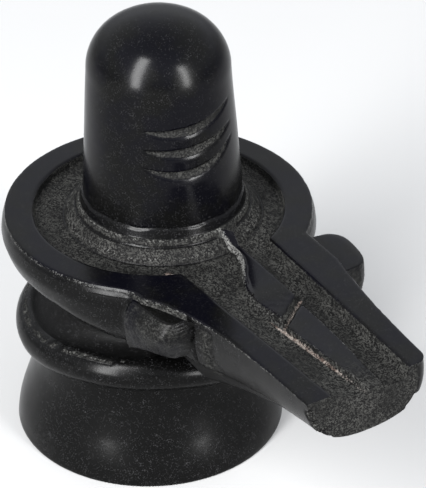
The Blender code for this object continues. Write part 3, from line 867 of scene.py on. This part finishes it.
def weld(grids):
    """Joins grids of points and values into one set of points, faces and values. Points that lie
    within a micrometre are one."""
    coordinates, values, faces, first = [], [], [], 0
    for grid, finish in grids:
        shape = grid.shape[:2]
        coordinates.append(grid.reshape(-1, 3))
        values.append(np.stack([np.broadcast_to(finish[name], shape).reshape(-1) for name in FLOATS],
                               axis=-1))
        faces.append(grid_faces(*shape, first))
        first += shape[0] * shape[1]
    coordinates, values, faces = (np.concatenate(items) for items in (coordinates, values, faces))
    keys = np.round(coordinates / 1e-6).astype(np.int64)
    _, chosen, inverse = np.unique(keys, axis=0, return_index=True, return_inverse=True)
    inverse = inverse.reshape(-1)
    merged = np.zeros((len(chosen), len(FLOATS)))
    np.maximum.at(merged, inverse, values)
    return coordinates[chosen], inverse[faces], merged


def hand_shaped(place):
    """Moves points up or down where the carving isn't even: on the near side the dish's lower edge
    hangs lower towards the ear, by a table of place along the spout, and the roll moulding and its
    waist rise below it, by a table of height and a smooth step of bearing."""
    x, y, z = place.T
    drop = np.interp(x, *HANG_TABLE) * ramp(-0.0080, -0.0140, y) * ramp(BULGE_HEIGHT, LIP_HEIGHT, z)
    drop = drop * unit((z - ROLL_TOP - 0.0015) / (DISH_UNDERSIDE + 0.0010 - ROLL_TOP))
    bearing = np.degrees(np.arctan2(y - PEDESTAL_Y, x - PEDESTAL_X))
    front = ramp(60.0, 12.0, np.abs(bearing - ROLL_FRONT))
    outside = ramp(0.0150, 0.0200, np.hypot(x - PEDESTAL_X, y - PEDESTAL_Y))
    return np.stack((x, y, z - drop + np.interp(z, *ROLL_LIFT) * front * outside), axis=-1)


def vectors(items, name):
    """One vector of every item of a mesh, as the rows of an array."""
    flat = np.empty(len(items) * 3)
    items.foreach_get(name, flat)
    return flat.reshape(-1, 3)


def weather(mesh, values):
    """Moves every point inwards along its normal, by a hand-carved waviness, pits where the stone is
    matt, flakes along the worn edges and on the roll moulding, upright tool marks on the spout's sides
    past the ears, and the chips. It marks what is broken as matt and worn, and the tool marks as half
    matt."""
    place = vectors(mesh.vertices, "co")
    x, y, z = place.T
    matt, satin, _, wear = values.T
    noise_at = functools.partial(lattice_noise, place)
    wave = 0.5 + 0.35 * noise_at(0.0075, 1) + 0.15 * noise_at(0.0031, 2)
    depth = WAVE_DEPTH * wave * blend(0.35, 1.0, np.maximum(matt, satin))
    pits = positive(noise_at(0.0009, 3) + 0.5 * noise_at(0.0018, 4) - 0.25)
    flakes = positive(noise_at(0.0013, 5) + 0.6 * noise_at(0.0030, 6) - 0.15)
    depth = depth + PIT_DEPTH * pits * matt + FLAKE_DEPTH * flakes * wear
    # the roll moulding's upper edge
    out = np.hypot(x - PEDESTAL_X, y - PEDESTAL_Y)
    shoulder = bell(out - ROLL_WORN_RADIUS, 0.0006) * ramp(ROLL_TOP - 0.0022, ROLL_TOP - 0.0010, z)
    shoulder = shoulder * (z < ROLL_TOP + 0.0024) * (x < 0.0180)
    broken = shoulder * ramp(-0.35, 0.20, noise_at(0.0016, 7) + 0.5 * noise_at(0.0007, 8))
    depth = depth + KNOCK_DEPTH * broken
    # upright tool marks past the ears
    strip = bell(x - 0.0430, 0.0022) * ramp(0.0530, 0.0515, z) * ramp(0.036, 0.040, z)
    marks = lattice_noise(place * np.array((1.0, 1.0, 0.12)), 0.0008, 9)
    depth = depth + MARK_DEPTH * (0.5 + 0.5 * marks) * strip
    uneven = noise_at(0.0008, 10)
    for *middle, radius, deep in CHIPS:
        away = np.linalg.norm(place - np.array(middle), axis=1) + 0.25 * radius * uneven
        dent = 1.0 - ramp(0.35 * radius, radius, away)
        depth = depth + deep * dent
        broken = np.maximum(broken, dent)
    depth = depth * ramp(0.0002, 0.0020, z)
    place = place - vectors(mesh.vertex_normals, "vector") * depth[:, None]
    place = np.clip(place, np.array(LOWEST), np.array(HIGHEST))
    values[:, 0] = np.maximum.reduce((matt, 0.7 * ramp(0.2, 0.7, broken), 0.5 * strip))
    values[:, 3] = np.maximum(wear, 0.7 * ramp(0.3, 0.9, broken) * (z > FLARE_HEIGHT))
    mesh.vertices.foreach_set("co", place.reshape(-1))
    mesh.update()


def make_mesh(name, coordinates, faces, values):
    """A mesh object from welded points and faces, with its values as point attributes. Cells with two
    points in one are triangles, and cells that shrink to a line are dropped."""
    doubled = faces == np.roll(faces, -1, axis=1)
    whole = faces[~doubled.any(axis=1)]
    single = faces[doubled.sum(axis=1) == 1]
    thirds = single[single != np.roll(single, -1, axis=1)].reshape(-1, 3)
    mesh = bpy.data.meshes.new(name)
    mesh.from_pydata(coordinates, [], whole.tolist() + thirds.tolist())
    bm = bmesh.new()
    bm.from_mesh(mesh)
    bmesh.ops.recalc_face_normals(bm, faces=bm.faces)
    open_edges = sum(1 for edge in bm.edges if len(edge.link_faces) != 2)
    print("faces", len(bm.faces), "edges that aren't shared by two faces", open_edges,
          "volume cm3", bm.calc_volume(signed=True) * 1e6)
    bm.to_mesh(mesh)
    bm.free()
    weather(mesh, values)
    for number, label in enumerate(FLOATS):
        attribute = mesh.attributes.new(label, "FLOAT", "POINT")
        attribute.data.foreach_set("value", values[:, number].astype(np.float32))
    mesh.shade_smooth()
    stone = bpy.data.objects.new(name, mesh)
    bpy.context.scene.collection.objects.link(stone)
    return stone


def sweep_tags(rows, ear, ledge):
    """Finish of the sweep's rows: a matt wall, a polished rim, satin sides with a duller neck, half-matt
    sides and polished tops on the ears, and wear along the rim's two edges."""
    row = np.arange(rows)[None, :]
    inner = (row == WALL_ROWS - 1) + (row == WALL_ROWS)
    outer = (row == INSIDE_ROWS - 1) + (row == INSIDE_ROWS)
    ledge_at = INSIDE_ROWS + LEDGE_ROW
    matt = np.maximum((row < WALL_ROWS) * 0.7, ear * np.where(row > ledge_at, EAR_MATT, 1.0))
    satin = (row >= INSIDE_ROWS) * (1.0 - ear) * (1.0 - ledge)
    satin = satin * np.where(row > rows - NECK_ROWS, NECK_DULLNESS, 1.0)
    wear = 0.35 * inner + 0.60 * outer + 0.45 * ear * (row > INSIDE_ROWS) * (row < ledge_at)
    return tags(matt=matt, satin=satin, wear=unit(wear), dust=0.30 * (row == 0))


def stone_grids():
    """All the grids of the stone with their finishes."""
    back = back_strip()
    strips = []
    for side, border in ((NEAR, back[0]), (FAR, back[-1])):
        dish, spout = front_strip(dish_stations(side), side), front_strip(spout_stations(side), side)
        dish[0][0] = border
        spout[0][0] = dish[0][-1]
        strips.append((dish, spout))
    (near_dish, near_spout), (far_dish, far_spout) = strips
    nothing = np.zeros(back.shape[:2])
    sweep, ear, ledge = (
        np.concatenate((near_tip[::-1], near_root[::-1][1:], behind[1:], far_root[1:], far_tip[1:]))
        for near_tip, near_root, behind, far_root, far_tip
        in zip(near_spout, near_dish, (back, nothing, nothing), far_dish, far_spout))
    near, far = near_spout[0], far_spout[0]
    channel = channel_grid(near[:, 0], far[:, 0])
    belly = belly_grid(near[:, -1], far[:, -1])
    dish = np.concatenate((near_dish[0][::-1], back[1:], far_dish[0][1:]))

    def closed(line, crossing):
        """A ring from a line round the dish and the crossing between its two ends."""
        return np.concatenate((line, crossing[::-1][1:-1], line[:1]))

    floor, shaft, dome, cut = polar_rings(closed(dish[:, 0], channel[0]))
    cut = np.concatenate((np.zeros((1, cut.shape[1])), cut, np.zeros(dome.shape[:2])))
    lingam = np.concatenate((floor[-1:], shaft, dome))
    satin = blend(0.8, 0.25, ramp(COLLAR_TOP, SHAFT_FOOT + 0.0060, lingam[..., 2]))
    last = INSIDE_ROWS - 1
    upper = np.concatenate((near[-1, :last + 1][::-1], channel[-1][1:-1], far[-1, :last + 1]))
    lower = np.concatenate((near[-1, last:], belly[-1][1:-1], far[-1, last:][::-1]))
    end = end_grid(upper, lower)
    wear = np.zeros(end.shape[:2])
    wear[0] = 0.8
    return [(sweep, sweep_tags(sweep.shape[1], ear, ledge)),
            (channel, floor_tags(channel[..., 0], channel[..., 1])),
            (belly, tags(satin=1.0)),
            (floor, floor_tags(floor[..., 0], floor[..., 1])),
            (lingam, tags(matt=0.62 * cut, satin=satin * (1.0 - cut), wear=0.30 * cut)),
            (pedestal_rings(closed(dish[:, -1], belly[0])), tags(satin=1.0)),
            (end, tags(matt=0.55, satin=1.0, wear=wear))]


# Settings
class LingamSizes(bpy.types.PropertyGroup):
    """Sizes of the stone's fine carving."""
    groove_depth: bpy.props.FloatProperty(
        name="Groove depth", description="Depth of the three curved cuts at their middle",
        default=0.0008, min=0.0, max=0.002, subtype="DISTANCE", unit="LENGTH")
    groove_width: bpy.props.FloatProperty(
        name="Groove width", description="Width of the three curved cuts at their middle",
        default=0.0027, min=0.0005, max=0.004, subtype="DISTANCE", unit="LENGTH")


def colour_setting(name, description, default):
    """A colour that a user would change."""
    return bpy.props.FloatVectorProperty(name=name, description=description, default=default, size=3,
                                         min=0.0, max=1.0, subtype="COLOR")


class LingamFinish(bpy.types.PropertyGroup):
    """Colours of the stone and the stage."""
    stone_colour: colour_setting("Stone", "Colour of the polished stone", (0.0010, 0.0010, 0.0019))
    stone_tint: colour_setting("Polished stone, warm", "Second colour of the polished stone, in stains",
                               (0.0014, 0.0014, 0.0013))
    satin_colour: colour_setting("Satin stone", "Colour of the smooth sides", (0.0012, 0.0012, 0.0012))
    speck_colour: colour_setting("Specks", "Colour of the sparse specks in the smooth sides",
                                 (0.022, 0.022, 0.023))
    matt_dark: colour_setting("Matt stone, dark", "Darker colour of surfaces that were never polished",
                              (0.0016, 0.0016, 0.0016))
    matt_light: colour_setting("Matt stone, light", "Paler colour of surfaces that were never polished",
                               (0.033, 0.033, 0.0305))
    wear_colour: colour_setting("Worn edges", "Colour of edges that are rubbed or chipped",
                                (0.088, 0.088, 0.084))
    dust_colour: colour_setting("Dust", "Colour of the pale dust in the creases", (0.155, 0.135, 0.120))
    dust_dark: colour_setting("Dust, dark", "Colour of the dust where it is thin",
                              (0.055, 0.038, 0.031))
    floor_colour: colour_setting("Floor", "Colour of the floor and the backdrop", (0.315, 0.315, 0.315))


def add(tree, kind, inputs, output=0, **settings):
    """Adds a node, sets or links its inputs by name or number, and returns one of its outputs."""
    node = tree.nodes.new(kind)
    for name, value in settings.items():
        setattr(node, name, value)
    for name, value in inputs.items():
        if isinstance(value, bpy.types.NodeSocket):
            tree.links.new(value, node.inputs[name])
        else:
            node.inputs[name].default_value = value
    return node.outputs[output]


def noise(tree, place, scale, detail, roughness=0.55):
    """Noise with so many waves a metre."""
    return add(tree, "ShaderNodeTexNoise", {"Vector": place, "Scale": scale, "Detail": detail,
                                            "Roughness": roughness})


def between(tree, value, low, high, start=0.0, end=1.0):
    """A smooth step of a value from one level to another, scaled to two new ends."""
    levels = {"Value": value, "From Min": low, "From Max": high, "To Min": start, "To Max": end}
    return add(tree, "ShaderNodeMapRange", levels, interpolation_type="SMOOTHSTEP")


def sums(tree, operation, first, second):
    """One sum of two numbers."""
    return add(tree, "ShaderNodeMath", {0: first, 1: second}, operation=operation)


def weighted(tree, *terms, plus=0.0):
    """Values times their weights, added up."""
    for value, weight in terms:
        plus = add(tree, "ShaderNodeMath", {0: value, 1: weight, 2: plus}, operation="MULTIPLY_ADD")
    return plus


def mixed(tree, share, first, second):
    """A colour between two colours, each a socket or three numbers."""
    first, second = (c if isinstance(c, bpy.types.NodeSocket) else (*c, 1.0) for c in (first, second))
    return add(tree, "ShaderNodeMix", {0: share, 6: first, 7: second}, output=2, data_type="RGBA")


def grains(tree, place, scale):
    """Grains with so many cells a metre, each of one random value from 0 to 1."""
    cells = add(tree, "ShaderNodeTexVoronoi", {"Vector": place, "Scale": scale}, output=1)
    return add(tree, "ShaderNodeSeparateColor", {0: cells})


def stone_material():
    """Black stone. Broad stains, clumps and fine specks of noise give the grain, and the finish
    attributes choose between a polished, a satin and a matt look, with pale dust and worn edges."""
    finish = bpy.context.scene.lingam_finish
    material = bpy.data.materials.new("black stone")
    material.use_nodes = True
    tree = material.node_tree
    shader = tree.nodes["Principled BSDF"]
    place = add(tree, "ShaderNodeTexCoord", {}, output=3)
    stain = noise(tree, place, 110.0, 3.0)
    clump = noise(tree, place, 750.0, 3.0, 0.6)
    speck = noise(tree, place, 2700.0, 2.0, 0.6)
    coarse = grains(tree, place, 3400.0)
    grit = grains(tree, place, 5600.0)
    matt, satin, dust, wear = (add(tree, "ShaderNodeAttribute", {}, output=2, attribute_name=label)
                               for label in FLOATS)
    # colours
    mottle = weighted(tree, (speck, 0.40), (clump, 0.40), (grit, 0.30), (coarse, 0.49))
    light = between(tree, mottle, 0.68, 1.04)
    light = sums(tree, "MULTIPLY", light, between(tree, stain, 0.30, 0.70, 0.35, 1.0))
    matt_colour = mixed(tree, light, finish.matt_dark, finish.matt_light)
    sparse = weighted(tree, (clump, 0.30), (grit, 0.60), (stain, 0.14))
    sparse = between(tree, sparse, 0.72, 0.92)
    cloud = between(tree, stain, 0.40, 0.65)
    polish = mixed(tree, cloud, finish.stone_colour, finish.stone_tint)
    polish = mixed(tree, weighted(tree, (sparse, 0.40)), polish, finish.speck_colour)
    satin_colour = mixed(tree, sparse, finish.satin_colour, finish.speck_colour)
    rough_share = between(tree, weighted(tree, (clump, 0.5), plus=matt), 0.45, 0.95)
    # the satin attribute also carries the painted shade in the floor's creases, darkened here by the
    # satin colour
    colour = mixed(tree, satin, polish, satin_colour)
    colour = mixed(tree, rough_share, colour, matt_colour)
    worn = between(tree, weighted(tree, (mottle, 0.62), (wear, 0.55)), 0.84, 1.16)
    colour = mixed(tree, worn, colour, finish.wear_colour)
    dusty = between(tree, weighted(tree, (dust, 0.9), plus=mottle), 1.28, 1.90)
    dust_colour = mixed(tree, between(tree, clump, 0.35, 0.6), finish.dust_dark, finish.dust_colour)
    colour = mixed(tree, dusty, colour, dust_colour)
    tree.links.new(colour, shader.inputs["Base Color"])
    # gloss
    gloss = between(tree, stain, 0.30, 0.75, 0.14, 0.21)
    rough = sums(tree, "MAXIMUM", rough_share, sums(tree, "MAXIMUM", worn, dusty))
    rough = weighted(tree, (satin, 0.045), (speck, 0.06), (rough, 0.50), plus=gloss)
    tree.links.new(rough, shader.inputs["Roughness"])
    shader.inputs["IOR"].default_value = 1.18
    # relief finer than the mesh
    relief = weighted(tree, (speck, 0.6), (clump, 0.8))
    amount = weighted(tree, (satin, 0.03), (rough_share, 0.9), plus=0.02)
    relief = sums(tree, "MULTIPLY", relief, amount)
    normal = add(tree, "ShaderNodeBump", {"Height": relief, "Strength": 1.0, "Distance": 0.00022})
    tree.links.new(normal, shader.inputs["Normal"])
    return material


class OBJECT_OT_lingam_stone(bpy.types.Operator):
    """Build the carved stone: pedestal, dish, spout, channel and lingam in one closed surface"""
    bl_idname = "object.lingam_stone"
    bl_label = "Stone"

    def execute(self, context):
        coordinates, faces, values = weld(stone_grids())
        stone = make_mesh("stone", hand_shaped(coordinates), faces, values)
        stone.data.materials.append(stone_material())
        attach(stone, "root")
        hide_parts(NODE)
        return {"FINISHED"}


class OBJECT_OT_lingam_stage(bpy.types.Operator):
    """Build the pale floor, the soft light and the camera"""
    bl_idname = "object.lingam_stage"
    bl_label = "Stage"

    def execute(self, context):
        scene = context.scene
        side = np.linspace(-FLOOR_REACH, FLOOR_REACH, FLOOR_CELLS + 1)
        grid = points(*np.meshgrid(side, side, indexing="ij"), 0.0)
        mesh = bpy.data.meshes.new("floor")
        mesh.from_pydata(grid.reshape(-1, 3), [], grid_faces(*grid.shape[:2], 0).tolist())
        material = bpy.data.materials.new("pale floor")
        material.use_nodes = True
        shader = material.node_tree.nodes["Principled BSDF"]
        shader.inputs["Base Color"].default_value = (*scene.lingam_finish.floor_colour, 1.0)
        shader.inputs["Roughness"].default_value = 0.9
        mesh.materials.append(material)
        floor = bpy.data.objects.new("floor", mesh)
        scene.collection.objects.link(floor)
        scene.world = studio_world()
        softbox("left softbox", turn=-35.0, rise=30.0, size=(0.30, 1.40), power=58.0)
        softbox("right softbox", turn=44.0, rise=20.0, size=(0.17, 0.90), power=27.0)
        scene.view_settings.view_transform = "Standard"
        add_camera(scene)
        return {"FINISHED"}


def studio_world():
    """A soft studio: a pale band of light part way up, a dimmer ceiling and a dim horizon."""
    world = bpy.data.worlds.new("studio")
    world.use_nodes = True
    tree = world.node_tree
    direction = add(tree, "ShaderNodeTexCoord", {})
    height = add(tree, "ShaderNodeSeparateXYZ", {"Vector": direction}, output=2)
    band = sums(tree, "MULTIPLY", between(tree, height, 0.05, 0.40, 0.45, 1.0),
                between(tree, height, 0.75, 1.0, 1.0, 0.7))
    background = tree.nodes["Background"]
    background.inputs["Color"].default_value = (0.93, 0.955, 1.0, 1.0)
    tree.links.new(sums(tree, "MULTIPLY", band, 1.36), background.inputs["Strength"])
    return world


def axes(*angles):
    """The right, up and back of something that looks at the stone from an azimuth and a rise, with a
    roll, all in degrees: level axes, turned in their own plane by the roll."""
    azimuth, rise, roll = (math.radians(angle) for angle in angles)
    level = np.array((math.cos(azimuth), math.sin(azimuth), 0.0))
    back = np.array((math.sin(azimuth) * math.cos(rise), -math.cos(azimuth) * math.cos(rise),
                     math.sin(rise)))
    above = np.cross(back, level)
    right = math.cos(roll) * level + math.sin(roll) * above
    return right, math.cos(roll) * above - math.sin(roll) * level, back


def put(name, data, directions, place):
    """Links an object that stands at a place with its own axes along three directions."""
    thing = bpy.data.objects.new(name, data)
    rows = np.column_stack((*directions, place)).tolist()
    thing.matrix_world = Matrix((*rows, (0.0, 0.0, 0.0, 1.0)))
    bpy.context.scene.collection.objects.link(thing)
    return thing


def softbox(name, turn, rise, size, power):
    """A rectangular area light, turned from the camera's bearing, that faces the stone's middle."""
    light = bpy.data.lights.new(name, "AREA")
    light.shape = "RECTANGLE"
    light.size, light.size_y = size
    light.energy = power
    directions = axes(CAMERA_AZIMUTH + turn, rise, 0.0)
    put(name, light, directions, LIGHT_DISTANCE * directions[2] + np.array((0.0, 0.0, LIGHT_TARGET)))


def add_camera(scene):
    """The camera at the photograph's bearing, rise, distance and roll."""
    right, up, back = axes(CAMERA_AZIMUTH, CAMERA_ELEVATION, CAMERA_ROLL)
    eye = np.array((0.0, 0.0, CAMERA_TARGET)) + CAMERA_DISTANCE * back
    data = bpy.data.cameras.new("camera")
    data.sensor_width = SENSOR
    data.sensor_fit = "AUTO"
    data.lens = CAMERA_FOCAL * SENSOR / IMAGE_LONG_SIDE
    data.clip_start = 0.01
    data.clip_end = 20.0
    eye = eye + CAMERA_RIGHT * right + CAMERA_UP * up
    scene.camera = put("camera", data, (right, up, back), eye)


class VIEW3D_PT_lingam(bpy.types.Panel):
    """Sidebar panel with the sizes, the colours and the steps"""
    bl_idname = "VIEW3D_PT_lingam"
    bl_label = "Shiva Lingam"
    bl_space_type = "VIEW_3D"
    bl_region_type = "UI"
    bl_category = "Shiva Lingam"

    def draw(self, context):
        for group in (context.scene.lingam_sizes, context.scene.lingam_finish):
            for name in group.__annotations__:
                self.layout.prop(group, name)
        for operator in OPERATORS:
            self.layout.operator(operator.bl_idname)


OPERATORS = (OBJECT_OT_lingam_stone, OBJECT_OT_lingam_stage)
CLASSES = (LingamSizes, LingamFinish, *OPERATORS, VIEW3D_PT_lingam)


def register():
    """Register the classes and hang the settings on the scene."""
    for cls in CLASSES:
        bpy.utils.register_class(cls)
    bpy.types.Scene.lingam_sizes = bpy.props.PointerProperty(type=LingamSizes)
    bpy.types.Scene.lingam_finish = bpy.props.PointerProperty(type=LingamFinish)


def unregister():
    """Take the settings and the classes away again."""
    del bpy.types.Scene.lingam_finish
    del bpy.types.Scene.lingam_sizes
    for cls in reversed(CLASSES):
        bpy.utils.unregister_class(cls)


def main():
    """Run every step in order."""
    register()
    bpy.ops.object.lingam_stone()
    bpy.ops.object.lingam_stage()
    bpy.context.view_layer.update()


if __name__ == "__main__":
    main()
